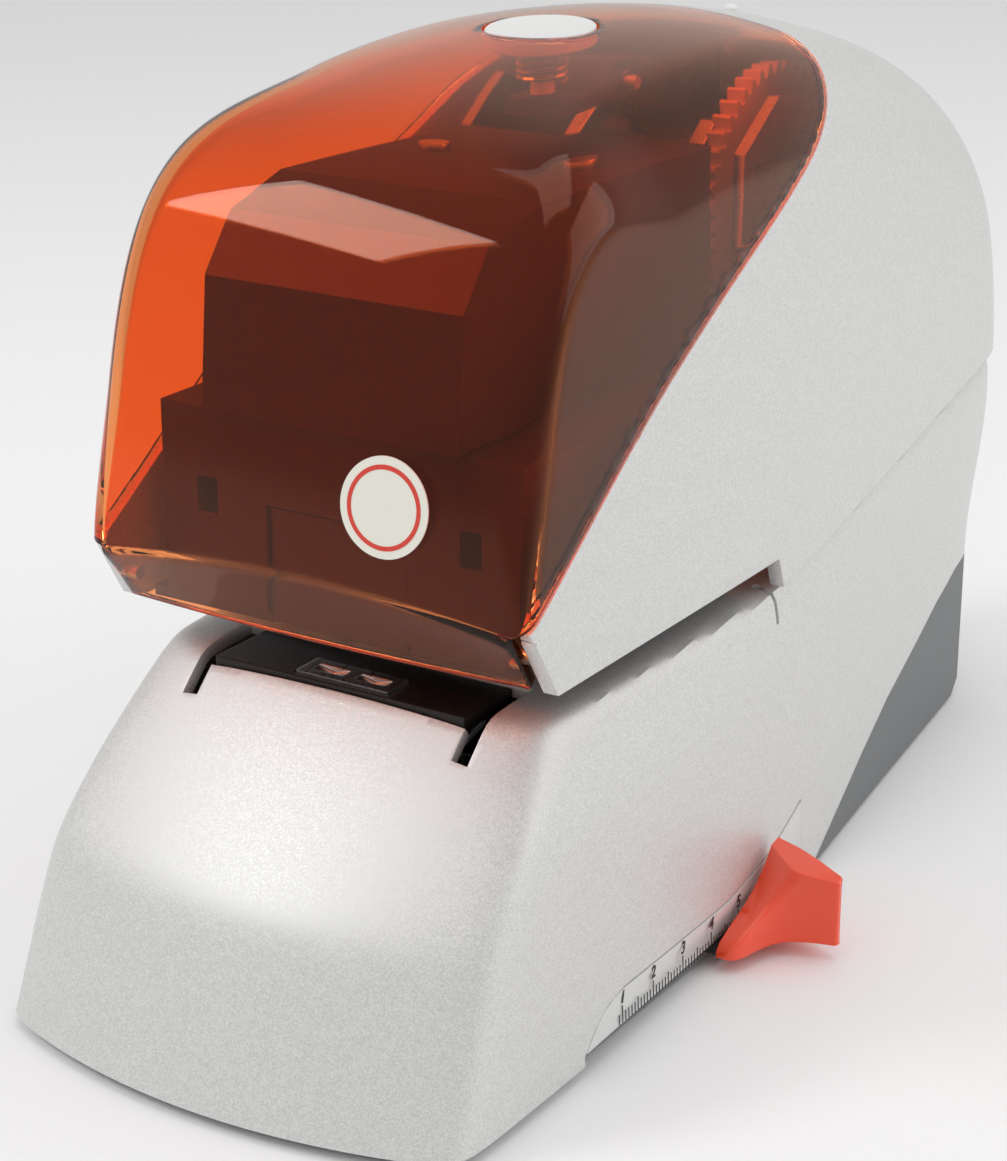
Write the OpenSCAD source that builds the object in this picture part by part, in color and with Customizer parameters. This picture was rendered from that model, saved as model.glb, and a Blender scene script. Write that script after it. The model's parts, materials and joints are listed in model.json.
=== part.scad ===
// Electric desktop stapler: hinged clear cover over a gear-driven stapling head, fixed above a wedge base.
// Axes: +X is the user's right, -Y is the front, +Z is up. The origin is on the table, under the staple line.

/* [Base] */
// Half of the base's width at the table
base_half_w = 45; // [42:1:55]
// Height of the base's lower rim above the table
rim_z = 2; // [1.8:0.1:2.6]
// Front of the base, ahead of the staple line
base_front = 45.5; // [40:1:56]
// Rear of the base, behind the staple line
base_rear = 188; // [184:1:200]
// Height of the base's top at the staple line
base_top = 58.4; // [52:0.2:58.6]
// Wall thickness of the outer shells
wall = 2.4; // [1.8:0.1:2.8]

/* [Head] */
// Height of the head's top
head_top = 154; // [153:1:185]
// Height of the head's underside
head_under = 66; // [65.8:0.1:68]
// Half of the head's width at its underside
head_half_w = 42; // [40.4:0.2:44]
// Gap between neighbouring shells
shell_gap = 0.5; // [0.3:0.1:0.8]
// How far back the paper reaches
throat_depth = 69; // [67:0.5:72]

/* [Cover] */
// Wall thickness of the clear cover
cover_wall = 2.4; // [1.8:0.1:2.8]
// Radius of the round release button
button_r = 9.25; // [7:0.25:11]
// Forward tilt of the release button
button_tilt = 4.5; // [0:0.5:6]
// Radius of the cover's hinge pins
hinge_pin_r = 1.2; // [0.9:0.1:1.4]

/* [Depth stop] */
// Paper depth shown by the pointer at rest
stop_rest = 41; // [20:1:45]
// Width of the paper stop
stop_w = 20; // [12:1:24]

/* [Drive] */
// Module of the motor's gear stage
fast_module = 0.8; // [0.7:0.05:0.85]
// Module of the crank's gear stage
slow_module = 1; // [0.9:0.05:1.05]
// Radius of the motor's can
motor_r = 12; // [9:0.5:13]
// Radius of the arm's pivot pin
pivot_r = 3; // [2.5:0.1:3.6]
// Throw of the crank pin
crank_throw = 4; // [3:0.25:4.5]
// Play of a shaft in its bearing, as a radius
running_play = 0.05; // [0.03:0.01:0.08]

/* [Staples] */
// Width of one staple
staple_w = 12.7; // [10:0.1:14]
// Length of a staple's legs
staple_leg = 6; // [5:0.5:7]

/* [Hidden] */

big = 400;
eps = 0.01;
inner = base_half_w - wall;
seam_rise = 17.4;

// Base outline from the side, anticlockwise: rim, rear edge of the dark tray, seam, throat, ramp
base_side = [
  [-base_front, rim_z], [85, rim_z], [110, rim_z + 11], [125, rim_z + 17], [142, rim_z + 22],
  [155, rim_z + 26], [169, rim_z + 29], [base_rear - 3, rim_z + 30], [base_rear, rim_z + 48],
  [base_rear, base_top + seam_rise + 2], [180, base_top + seam_rise + 1.2], [throat_depth, base_top + 1.2],
  [-4.6, base_top], [-33.5, base_top * 0.505], [-41, base_top * 0.26], [1.2 - base_front, base_top * 0.12]
];

// Half of the base outline from above, front to rear: the bow, the straight side and the taper
base_plan_right = [
  [0, -base_front], [8, 0.4 - base_front], [20, 2.3 - base_front], [32, 5.4 - base_front],
  [base_half_w - 4.5, 9.5 - base_front], [base_half_w - 1.4, 14 - base_front], [base_half_w, 21 - base_front],
  [base_half_w, 62], [base_half_w - 3.2, 86], [base_half_w - 9, 128], [base_half_w - 15.6, 178],
  [base_half_w - 19, base_rear - 3], [base_half_w - 25, base_rear]
];

// Head outline from the side, anticlockwise: underside, seam, rear, top, front, chin
head_side = [
  [-5.6, head_under], [throat_depth - 2.5, head_under], [throat_depth - 0.4, base_top + 1.2 + shell_gap],
  [180, base_top + seam_rise + 1.2 + shell_gap], [base_rear, base_top + seam_rise + 2 + shell_gap],
  [base_rear, head_top - 52], [173, head_top - 30], [158, head_top - 19], [144, head_top - 12.6],
  [126, head_top - 7], [108, head_top - 3.2], [86, head_top - 0.2], [68, head_top], [52, head_top - 0.6],
  [37, head_top - 2.4], [22, head_top - 5.6], [8, head_top - 11], [0, head_top - 17], [-6, head_top - 26],
  [-10, head_top - 37], [-14, head_top - 57], [-16, head_top - 78]
];

// Half of the head outline from above
head_plan_right = [
  [0, -16.4], [20, -16.2], [head_half_w - 8, -15.4], [head_half_w - 3.6, -13], [head_half_w - 1.7, -8],
  [head_half_w, 66], [head_half_w - 1, 88], [head_half_w - 5.6, 128], [head_half_w - 12.4, 176],
  [head_half_w - 17, base_rear - 4], [head_half_w - 24, base_rear]
];

// Half of the head's cross-section, top to bottom
head_section_right = [
  [0, head_top], [9, head_top - 0.4], [19, head_top - 3], [27, head_top - 8.5], [head_half_w - 9, head_top - 16],
  [head_half_w - 5.6, head_top - 27], [head_half_w - 3.6, head_top - 38], [head_half_w - 2, head_top - 58],
  [head_half_w - 0.5, head_top - 77], [head_half_w, base_top - 10]
];

// Edge of the clear cover in side view, from the chin to the top
cover_edge = [
  [-16, head_under + 10], [27, head_under + 40], [70, head_under + 62], [88, head_under + 72],
  [95, head_under + 79], [98, head_top + 20]
];

hinge_y = -7.5;
hinge_z = head_under + 6;
hinge_x = head_half_w - 3.3;
pin_reach = 1.5;
button_y = 56;
button_z = head_top - 1;
button_cap_h = 4;
button_play = 0.2;
stem_low = -11;
bridge_z = head_top - 11.8;
bridge_t = 1.2;

// Drive train centres, as [Y, Z]
pinion_teeth = 10;
idler_teeth = 40;
idler_small_teeth = 12;
crank_teeth = 45;
pressure = 25;
addendum = 0.85;
dedendum = 1.1;
backlash = 0.16;
crank_at = [100, 120];
idler_angle = -20;
motor_angle = 20;
idler_at = crank_at + slow_module * (crank_teeth + idler_small_teeth) / 2 * [cos(idler_angle), sin(idler_angle)];
motor_at = idler_at + fast_module * (idler_teeth + pinion_teeth) / 2 * [cos(motor_angle), sin(motor_angle)];
pivot_at = [150, 90];
screw_r = 1.5;
screw_head_r = 2.8;
screw_head_h = 0.9;
anvil_screw_at = [30, 3];
board_z = 12;
board_post_at = [[20, 96], [20, 142]];
frame_x = 26;
frame_t = 2;
slow_x = 17;
slow_w = 3.4;
fast_x = 21;
fast_w = 3.6;
axle_r = 2;
shaft_r = 3;
pin_r = 2.5;
arm_x = 11;
arm_t = 3;
arm_tilt_max = 5.5;
bracket_x = 12.5;
bracket_t = 2;
motor_len = 34;

// Staple path
slot_y = 1.6;
blade_y = -0.9;
blade_t = 0.6;
cassette_half_w = staple_w / 2 + 6.6;
cassette_top = head_under + 19;
cassette_back = 60;
floor_top = head_under + 2;
nose_back = 13.7;
track_z = floor_top + 1.6;
block_front = -5;
block_half_w = 26;
block_bottom = head_under + 34;
block_top = head_top - 20;
block_back = 70;
shield_half_w = 34;
shield_y = -3;
shield_front_t = 1.1;
shield_window_x = 25;

function unit(v) = v / norm(v);
// Polygon moved inwards by d; the points run anticlockwise
function inset(pts, d) = [
  for (i = [0:len(pts) - 1])
    let (
      n = len(pts),
      before = unit(pts[i] - pts[(i + n - 1) % n]),
      after = unit(pts[(i + 1) % n] - pts[i]),
      n1 = [-before.y, before.x],
      n2 = [-after.y, after.x]
    )
    pts[i] + d * (n1 + n2) / (1 + n1 * n2)
];
function reversed(pts) = [for (i = [len(pts) - 1:-1:0]) pts[i]];
function mirrored(pts) = [for (p = pts) if (p.x > eps) [-p.x, p.y]];
// Closed symmetric outline from its right half, front to rear, anticlockwise
function plan_loop(right) = concat(right, reversed(mirrored(right)));
// Closed symmetric section from its right half, top to bottom, anticlockwise
function section_loop(right) = concat(mirrored(right), reversed(right));

// 2-D shape in Y and Z, extruded along X from x0 by length
module along_x(x0, length) {
  translate([x0, 0, 0]) rotate([90, 0, 90]) linear_extrude(length) children();
}

// 2-D shape in X and Z, extruded along Y from y0 by length
module along_y(y0, length) {
  translate([0, y0 + length, 0]) rotate([90, 0, 0]) linear_extrude(length) children();
}

module box(low, high) {
  translate(low) cube(high - low);
}

module box_pair(low, high) {
  box(low, high);
  mirror([1, 0, 0]) box(low, high);
}

module rod_x(at, r, x0, x1) {
  translate([x0, at.x, at.y]) rotate([0, 90, 0]) cylinder(r = r, h = x1 - x0, $fn = 48);
}

module rod_z(x, y, r, z0, z1) {
  translate([x, y, z0]) cylinder(r = r, h = z1 - z0, $fn = 48);
}

// Screw with a slotted head; it points up from z_head, or down where way is -1
module screw_z(x, y, z_head, length, way) {
  translate([x, y, z_head]) rotate([way < 0 ? 180 : 0, 0, 0])
    difference() {
      union() {
        cylinder(r = screw_head_r, h = screw_head_h, $fn = 32);
        cylinder(r = screw_r, h = length, $fn = 32);
      }
      translate([-screw_head_r, -0.3, -eps]) cube([2 * screw_head_r, 0.6, 0.4]);
    }
}

// Helical wire standing on z = 0
module coil(r, wire_r, turns, height) {
  steps = 14;
  sides = 6;
  rings = turns * steps;
  points = [
    for (i = [0:rings])
      for (j = [0:sides - 1])
        let (a = i * 360 / steps, b = j * 360 / sides, q = r + wire_r * cos(b))
        [q * cos(a), q * sin(a), wire_r + (height - 2 * wire_r) * i / rings + wire_r * sin(b)]
  ];
  faces = concat(
    [[for (j = [0:sides - 1]) j]],
    [[for (j = [sides - 1:-1:0]) rings * sides + j]],
    [
      for (i = [0:rings - 1])
        for (j = [0:sides - 1])
          for (t = [0, 1])
            let (a = i * sides + j, b = i * sides + (j + 1) % sides)
            t == 0 ? [a, a + sides, b] : [b, a + sides, b + sides]
    ]
  );
  polyhedron(points, faces);
}

// Involute polar angle at radius r over base radius rb, in degrees
function roll(r, rb) = let (t = sqrt(max(0, pow(r / rb, 2) - 1))) t * 180 / PI - atan(t);
// Gear outline with a tooth centred on angle 0
function gear_points(teeth, m) =
  let (
    rp = teeth * m / 2,
    rb = rp * cos(pressure),
    lo = rp - dedendum * m,
    hi = rp + addendum * m,
    half = 90 / teeth - backlash / 4 / rp * 180 / PI,
    radii = [lo, max(rb, lo + 0.05), (rb + rp) / 2 + 0.1 * m, rp + 0.3 * m, hi]
  )
  [
    for (i = [0:teeth - 1])
      for (side = [-1, 1])
        for (k = [0:4])
          let (
            r = radii[side < 0 ? k : 4 - k],
            a = 360 * i / teeth + side * (half + roll(rp, rb) - roll(max(r, rb), rb))
          )
          r * [cos(a), sin(a)]
  ];

// Spur gear at [Y, Z], turned so that a tooth centre points along the angle
module gear_x(at, teeth, m, x0, width, tooth_angle) {
  translate([x0, at.x, at.y]) rotate([tooth_angle, 0, 0])
    rotate([90, 0, 90]) linear_extrude(width) polygon(gear_points(teeth, m));
}

module base_form(d) {
  section = [
    [-base_half_w, rim_z - 8], [base_half_w, rim_z - 8], [base_half_w, rim_z + 4],
    [base_half_w - 2.8, base_top], [base_half_w - 3.2, base_top + 40],
    [3.2 - base_half_w, base_top + 40], [2.8 - base_half_w, base_top], [-base_half_w, rim_z + 4]
  ];
  difference() {
    intersection() {
      along_x(-big / 2, big) polygon(inset(base_side, d));
      linear_extrude(big) polygon(inset(plan_loop(base_plan_right), d));
      along_y(-big / 2, big) polygon(inset(section, d));
    }
    for (side = [0, 1])
      mirror([side, 0, 0])
        translate([base_half_w - 2.6, -5, base_top * 0.58])
          rotate([0, 60.5, -10.4]) translate([-big / 2, -big / 2, -d]) cube([big, big, big / 2]);
  }
}

// Hollow of the base, open at the bottom and behind the throat
module base_hollow() {
  base_form(wall);
  translate([0, 0, -2 * wall]) base_form(wall);
  intersection() {
    translate([0, 0, 2 * wall]) base_form(wall);
    box([-inner, throat_depth + 10, rim_z], [inner, base_rear - wall - 3, big / 2]);
  }
}

module ruler_panel(x0, thickness, grow) {
  along_x(x0, thickness)
    polygon([
      [-1.5 - grow, rim_z + 1.8], [78 + grow, rim_z + 1.8], [78 + grow, rim_z + 15 + grow], [64, rim_z + 11 + grow],
      [47, rim_z + 8.5 + grow], [11, rim_z + 8.5 + grow], [6, rim_z + 7.4 + grow], [1.5 - grow, rim_z + 4.6 + grow]
    ]);
}

module base_shell() {
  color([0.8, 0.8, 0.8]) difference() {
    base_form(0);
    base_hollow();
    ruler_panel(base_half_w - 1.6, 10, 0.15);
    box([inner - 2, -1.5, rim_z - 1], [base_half_w + 1, 78, rim_z + 1.8 + eps]);
    // Pocket for the anvil and its side slots
    box([-24.7, -4.8, base_top - 3], [24.7, 10, base_top + 10]);
    box_pair([24.7 - eps, -8.8, base_top - 6], [27.7, 10, base_top + 10]);
    box([-15, 1, base_top - 12], [15, 9, base_top + 10]);
    // Slot for the neck of the paper stop
    box([-16.2, 10.5, base_top - 6], [-11.8, throat_depth - 2.5, base_top + 4]);
    // Rear openings for the power inlet and the switch
    box([-18.2, base_rear - 12, rim_z + 32], [-3.8, base_rear + 4, rim_z + 48]);
    box([5.8, base_rear - 12, rim_z + 34], [18.2, base_rear + 4, rim_z + 46]);
  }
}

module base_tray() {
  color([0.27, 0.28, 0.29]) difference() {
    tray_form();
    for (side = [0, 1])
      mirror([side, 0, 0]) {
        rod_z(anvil_screw_at.x, anvil_screw_at.y, screw_r + 0.1, 0, big);
        rod_z(anvil_screw_at.x, anvil_screw_at.y, screw_head_r + 0.2, 0, screw_low_z + screw_head_h + 0.05);
        for (p = board_post_at) rod_z(p.x, p.y, screw_r, board_z - 5, board_z + 1);
      }
  }
}

floor_z = 0.8;
screw_low_z = 0.3;

module tray_form() {
  difference() {
    union() {
      // Floor inside the shell's rim
      intersection() {
        box([-big, -big, floor_z], [big, 84, rim_z]);
        linear_extrude(big) polygon(inset(plan_loop(base_plan_right), wall + 0.4));
      }
      // Rear foot of the housing, below the shell's raised edge
      intersection() {
        along_x(-big / 2, big)
          polygon([
            [83.5, floor_z], [174, floor_z], [180, 5], [base_rear - 3, rim_z + 14], [base_rear - 3, rim_z + 29.5],
            [169, rim_z + 28.5], [155, rim_z + 25.5], [142, rim_z + 21.5], [125, rim_z + 16.5], [110, rim_z + 10.5],
            [87, rim_z]
          ]);
        linear_extrude(big) polygon(inset(plan_loop(base_plan_right), 0.4));
      }
    }
    intersection() {
      along_x(-big / 2, big)
        polygon([
          [88, rim_z + 0.8], [172, rim_z + 0.8], [178, 8], [base_rear - 6, rim_z + 15], [base_rear - 6, rim_z + 40],
          [88, rim_z + 40]
        ]);
      linear_extrude(big) polygon(inset(plan_loop(base_plan_right), wall + 0.4));
    }
  }
  for (side = [0, 1])
    mirror([side, 0, 0]) for (p = board_post_at) rod_z(p.x, p.y, 3, rim_z, board_z);
}

module front_foot() {
  color([0.12, 0.12, 0.12]) intersection() {
    linear_extrude(0.8)
      hull() for (x = [-16, 16]) translate([x, 0]) circle(r = 9, $fn = 32);
    box([-40, -8, 0], [40, 8, floor_z]);
  }
}

module rear_feet() {
  color([0.12, 0.12, 0.12]) for (x = [-20, 20]) rod_z(x, 158, 8, 0, floor_z);
}

module ruler_strip() {
  color([0.86, 0.86, 0.85]) intersection() {
    ruler_panel(base_half_w - 1.5, 1.4, 0);
    box([0, -10, 0], [base_half_w, 61, 40]);
  }
}

module anvil_block() {
  color([0.2, 0.18, 0.17]) difference() {
    union() {
      box([-24.2, -4.4, base_top - 2.9], [24.2, 9.6, base_top - 0.4]);
      box([-14.6, 1.2, base_top - 11.8], [14.6, 8.8, base_top - 2.9 + eps]);
    }
    box([-9.1, -3.1, base_top - 2], [9.1, 3.1, base_top + 2]);
  }
}

module anvil_die() {
  color([0.6, 0.6, 0.62]) difference() {
    box([-9, -3, base_top - 2], [9, 3, base_top]);
    for (side = [0, 1])
      mirror([side, 0, 0])
        along_y(-1.2, 2.4)
          polygon([
            [1, base_top + 1], [staple_w / 2 + 0.8, base_top + 1], [staple_w / 2 + 0.8, base_top - 0.3],
            [staple_w / 4 + 0.9, base_top - 0.9], [1, base_top - 0.3]
          ]);
  }
}

module anvil_post() {
  color([0.55, 0.55, 0.57]) difference() {
    union() {
      box([-12, 1.4, rim_z], [12, 8.6, base_top - 12]);
      box([-34, -4, rim_z], [34, 9.4, rim_z + 3]);
    }
    for (x = [-1, 1] * anvil_screw_at.x) rod_z(x, anvil_screw_at.y, screw_r, 0, 20);
  }
}

frame_outline = [
  [82, rim_z + 0.9], [160, rim_z + 0.9], [161, 60], [160, 112], [150, 131], [86, 140], [74, 132], [72, 92],
  [74, 84], [80, 80], [82, 64]
];

module frame_plate(x0) {
  difference() {
    along_x(x0, frame_t)
      difference() {
        polygon(frame_outline);
        polygon([[90, 20], [148, 30], [148, 66], [90, 66]]);
      }
    rod_x(pivot_at, pivot_r, x0 - 1, x0 + frame_t + 1);
    rod_x(crank_at, shaft_r + 1.5, x0 - 1, x0 + frame_t + 1);
    rod_x(idler_at, axle_r, x0 - 1, x0 + frame_t + 1);
    for (p = spacer_at) rod_x(p, 1.5, x0 - 1, x0 + frame_t + 1);
  }
}

spacer_at = [[87, 73], [152, 12]];

module frame_left() {
  color([0.6, 0.6, 0.62]) frame_plate(-frame_x - frame_t);
}

module frame_right() {
  color([0.6, 0.6, 0.62]) frame_plate(frame_x);
}

module frame_spacers() {
  color([0.65, 0.65, 0.66]) for (p = spacer_at) {
    rod_x(p, 3, -frame_x, frame_x);
    rod_x(p, 1.5, -frame_x - frame_t, frame_x + frame_t);
  }
}

module arm_pivot_pin() {
  color([0.7, 0.7, 0.72]) rod_x(pivot_at, pivot_r, -frame_x - frame_t - 0.8, frame_x + frame_t + 0.8);
}

module motor() {
  color([0.5, 0.5, 0.52]) {
    rod_x(motor_at, motor_r, bracket_x - motor_len, bracket_x);
    rod_x(motor_at, 4, bracket_x - motor_len - 2, bracket_x - motor_len + eps);
    rod_x(motor_at, 3.4, bracket_x - eps, bracket_x + bracket_t);
    rod_x(motor_at, 1, bracket_x + bracket_t - eps, fast_x + fast_w + 1);
  }
}

module motor_bracket() {
  color([0.6, 0.6, 0.62]) {
    difference() {
      along_x(bracket_x, bracket_t)
        polygon([
          [motor_at.x - 13, motor_at.y - 9], [motor_at.x + 13, motor_at.y - 13], [motor_at.x + 14, motor_at.y],
          [motor_at.x + 6, motor_at.y + 12], [motor_at.x - 13, motor_at.y + 12]
        ]);
      rod_x(motor_at, 3.4, bracket_x - 1, bracket_x + bracket_t + 1);
    }
    rod_x(motor_at + [11, -8], 2, bracket_x + bracket_t - eps, frame_x);
    rod_x(motor_at + [4, 9], 2, bracket_x + bracket_t - eps, frame_x);
  }
}

module motor_pinion() {
  color([0.75, 0.62, 0.3]) difference() {
    gear_x(motor_at, pinion_teeth, fast_module, fast_x, fast_w, motor_angle + 180);
    rod_x(motor_at, 1 + running_play, fast_x - 1, fast_x + fast_w + 1);
  }
}

module idler_axle() {
  color([0.7, 0.7, 0.72]) {
    rod_x(idler_at, axle_r, slow_x - 2, frame_x + frame_t);
    rod_x(idler_at, axle_r + 1.2, slow_x - 2.8, slow_x - 2 + eps);
  }
}

module idler_gear() {
  color([0.9, 0.88, 0.8]) difference() {
    union() {
      gear_x(idler_at, idler_teeth, fast_module, fast_x, fast_w, motor_angle + 180 / idler_teeth);
      gear_x(idler_at, idler_small_teeth, slow_module, slow_x - 0.5, fast_x - slow_x + 0.5 + eps, idler_angle + 180);
      rod_x(idler_at, 4, fast_x + fast_w - eps, fast_x + fast_w + 1);
    }
    rod_x(idler_at, axle_r + running_play, slow_x - 1, fast_x + fast_w + 2);
  }
}

module crank_bearing() {
  color([0.75, 0.62, 0.3]) difference() {
    union() {
      rod_x(crank_at, shaft_r + 1.5, frame_x, frame_x + frame_t);
      rod_x(crank_at, shaft_r + 3, frame_x - 1.2, frame_x);
    }
    rod_x(crank_at, shaft_r + running_play, frame_x - 2, frame_x + frame_t + 1);
  }
}

module crank_gear() {
  color([0.9, 0.88, 0.8]) {
    gear_x(crank_at, crank_teeth, slow_module, slow_x, slow_w, idler_angle + 180 / crank_teeth);
    rod_x(crank_at, shaft_r, slow_x + slow_w - eps, frame_x + frame_t);
    rod_x(crank_at + [crank_throw, 0], pin_r, arm_x - 1, slow_x + eps);
  }
}

module circuit_board() {
  color([0.1, 0.35, 0.2]) {
    difference() {
      box([-24, 92, board_z], [24, 146, board_z + 1.6]);
      for (x = [-1, 1]) for (p = board_post_at) rod_z(x * p.x, p.y, screw_r + 0.1, 0, 20);
    }
    box([-16, 100, board_z + 1.6], [-6, 114, board_z + 12]);
    box([2, 98, board_z + 1.6], [12, 104, board_z + 6]);
    for (x = [-8, 2, 12]) rod_z(x, 128, 4, board_z + 1.6, board_z + 14);
  }
}

module transformer() {
  color([0.35, 0.3, 0.28]) {
    box([-37, 20, rim_z], [-19, 60, 34]);
    box([-34, 26, 34], [-22, 54, 40]);
  }
}

module power_inlet() {
  color([0.1, 0.1, 0.1]) difference() {
    union() {
      box([-18, base_rear - 16, rim_z + 32.2], [-4, base_rear + 0.6, rim_z + 47.8]);
      box([-19.6, base_rear + eps, rim_z + 30.6], [-2.4, base_rear + 1.6, rim_z + 49.4]);
    }
    box([-16, base_rear - 11, rim_z + 34.4], [-6, base_rear + 2, rim_z + 45.6]);
  }
}

rocker_at = [base_rear - 3, rim_z + 40];
rocker_pin_r = 0.8;

module switch_frame() {
  color([0.1, 0.1, 0.1]) difference() {
    union() {
      box([6, base_rear - 12, rim_z + 34.2], [18, base_rear + 0.6, rim_z + 45.8]);
      box([4.6, base_rear + eps, rim_z + 32.6], [19.4, base_rear + 1.6, rim_z + 47.4]);
    }
    box([7.6, base_rear - 10, rim_z + 35.6], [16.4, base_rear + 2, rim_z + 44.4]);
    rod_x(rocker_at, rocker_pin_r + running_play, 6.6, 17.4);
  }
}

module power_switch() {
  color([0.15, 0.15, 0.16]) {
    rod_x(rocker_at, rocker_pin_r, 6.8, 17.2);
    along_x(8, 8)
      polygon([
        [base_rear - 7, rim_z + 39], [base_rear - 3, rim_z + 36.4], [base_rear - 0.4, rim_z + 36.2],
        [base_rear + 0.6, rim_z + 40], [base_rear + 2.2, rim_z + 42.6], [base_rear - 2, rim_z + 43.2],
        [base_rear - 7, rim_z + 41]
      ]);
  }
}

stop_x0 = -14 - stop_w / 2;

module stop_carriage() {
  color([0.2, 0.2, 0.2]) {
    box([-15.6, stop_rest + 1, rim_z + 0.3], [-12.4, stop_rest + 5, base_top + 2.4]);
    box([-15.6, stop_rest + 1, rim_z + 0.3], [base_half_w - 0.4, stop_rest + 9, rim_z + 1.5]);
    box([20, stop_rest + 1, rim_z + 1.5 - eps], [24, stop_rest + 9, rim_z + 1.7]);
  }
}

module paper_stop() {
  color([0.2, 0.2, 0.2]) difference() {
    box([stop_x0, stop_rest, base_top + 1.9], [stop_x0 + stop_w, stop_rest + 6, head_under - 0.4]);
    box([-15.6, stop_rest + 1, 0], [-12.4, stop_rest + 5, base_top + 2.4]);
  }
}

// Curved thumb grip: a foot along the ruler and a fin that sweeps outwards
module depth_knob() {
  x0 = base_half_w + 0.2;
  low = rim_z + 0.3;
  color([0.95, 0.27, 0.12]) {
    box([base_half_w - 0.4, stop_rest + 1, low], [x0 + eps, stop_rest + 9, low + 1.2]);
    intersection() {
      linear_extrude(40)
        polygon([
          [x0, stop_rest - 1], [x0 + 1.4, stop_rest - 1.4], [x0 + 4, stop_rest + 3.6], [x0 + 6.4, stop_rest + 8],
          [x0 + 10, stop_rest + 11], [x0 + 16, stop_rest + 12], [x0 + 16.4, stop_rest + 15.4],
          [x0 + 11, stop_rest + 18.4], [x0, stop_rest + 21]
        ]);
      along_x(0, big)
        polygon([
          [stop_rest - 3, low], [stop_rest + 24, low + 1.6], [stop_rest + 24, low + 13], [stop_rest + 15, low + 14],
          [stop_rest + 9, low + 12.6], [stop_rest + 3, low + 6.6], [stop_rest - 3, low + 2.4]
        ]);
      along_y(-big / 2, big)
        polygon([
          [x0 - 1, 0], [x0 + 3, 0], [x0 + 7, low + 1.4], [x0 + 18, low + 2.4], [x0 + 18, low + 11.6],
          [x0 + 6, low + 14], [x0 - 1, low + 14]
        ]);
    }
  }
}

module head_base() {
  color([0.16, 0.15, 0.15]) difference() {
    intersection() {
      linear_extrude(big) polygon(inset(plan_loop(head_plan_right), wall + 0.5));
      box([-big, -2, head_under], [big, throat_depth - 6, floor_top]);
    }
    box([-cassette_half_w - 0.3, -3, head_under - 1], [cassette_half_w + 0.3, nose_back + 0.3, floor_top + 1]);
    box([trigger_x - 0.8, 14, head_under - 1], [trigger_x + 3.2, 30, floor_top + 1]);
  }
}

// Dark cover over the arm, open below and behind
module head_block() {
  t = 2;
  outline = [
    [block_front, block_bottom], [block_back, block_bottom], [block_back, block_top], [block_front + 22, block_top],
    [block_front + 9, block_top - 4], [block_front + 2, block_top - 13]
  ];
  color([0.2, 0.12, 0.1]) difference() {
    along_x(-block_half_w + 2, 2 * block_half_w - 4) polygon(outline);
    along_x(-block_half_w + 2 + t, 2 * (block_half_w - 2 - t))
      polygon([
        [block_front + t, block_bottom - 1], [block_back + 1, block_bottom - 1], [block_back + 1, block_top - t],
        [block_front + 23, block_top - t], [block_front + 10, block_top - 4 - t], [block_front + 4, block_top - 14]
      ]);
  }
}

// Dark wall across the head behind the cover, with its returns and shelves at both sides
module side_shields() {
  top = block_bottom - 0.4;
  t = 2;
  low_x = cassette_half_w + 0.4;
  back = shield_y + shield_front_t;
  color([0.12, 0.11, 0.11]) difference() {
    union() {
      box([-shield_half_w, shield_y, floor_top], [shield_half_w, back, top]);
      box_pair([shield_half_w - t, shield_y, floor_top], [shield_half_w, 64, top]);
      box_pair([arm_x + arm_t + 2, back - eps, top - t], [shield_half_w, 64, top]);
    }
    box([-low_x, shield_y - 1, 0], [low_x, back + 1, cassette_top + 0.4]);
    box_pair(
      [shield_window_x - 2, shield_y - 1, floor_top + 14],
      [shield_window_x + 2, back + 1, floor_top + 20]
    );
  }
}

module cassette() {
  t = 1.6;
  color([0.16, 0.16, 0.17]) difference() {
    union() {
      box([-cassette_half_w, -2.3, floor_top], [cassette_half_w, cassette_back, cassette_top]);
      box([-cassette_half_w, -2.3, head_under + 0.4], [cassette_half_w, nose_back, floor_top + eps]);
    }
    // Track for the staples, over its floor
    box([-staple_w / 2 - 0.2, slot_y - 0.2, track_z], [staple_w / 2 + 0.2, cassette_back - t, cassette_top - t]);
    // Slot for the blade, open at both ends
    box([-staple_w / 2 - 0.4, -1.5, 0], [staple_w / 2 + 0.4, slot_y, big / 2]);
    // Opening under the lid
    box([-staple_w / 2 - 0.2, 12, cassette_top - t - 1], [staple_w / 2 + 0.2, cassette_back - 6, cassette_top + 1]);
  }
}

module cassette_lid() {
  color([0.2, 0.2, 0.21]) {
    box([-staple_w / 2, 12.2, cassette_top - 1.5], [staple_w / 2, cassette_back - 6.2, cassette_top + 0.3]);
    box([-4, 42, cassette_top + 0.3 - eps], [4, 52, cassette_top + 1.4]);
  }
}

module staple_strip() {
  pitch = 0.62;
  count = 40;
  low = track_z + 0.2;
  front = slot_y + 0.2;
  color([0.75, 0.75, 0.77]) difference() {
    box([-staple_w / 2, front, low], [staple_w / 2, front + pitch * count, low + staple_leg]);
    box([0.6 - staple_w / 2, slot_y, low - 1], [staple_w / 2 - 0.6, slot_y + 1 + pitch * count, low + staple_leg - 0.6]);
    for (i = [1:2:count - 1])
      box([-staple_w, front - 0.04 + pitch * i, low + staple_leg - 0.12], [staple_w, front + 0.04 + pitch * i, 95]);
  }
}

module staple_pusher() {
  low = track_z + 0.3;
  color([0.6, 0.6, 0.62]) {
    box([0.8 - staple_w / 2, 28, low], [staple_w / 2 - 0.8, 36, low + 10]);
    translate([0, 36 - eps, low + 5]) rotate([-90, 0, 0]) cylinder(r = 1.2, h = 20, $fn = 32);
  }
}

arm_front = 2;
arm_low = block_bottom + 1;
bar_back = 80;

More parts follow.
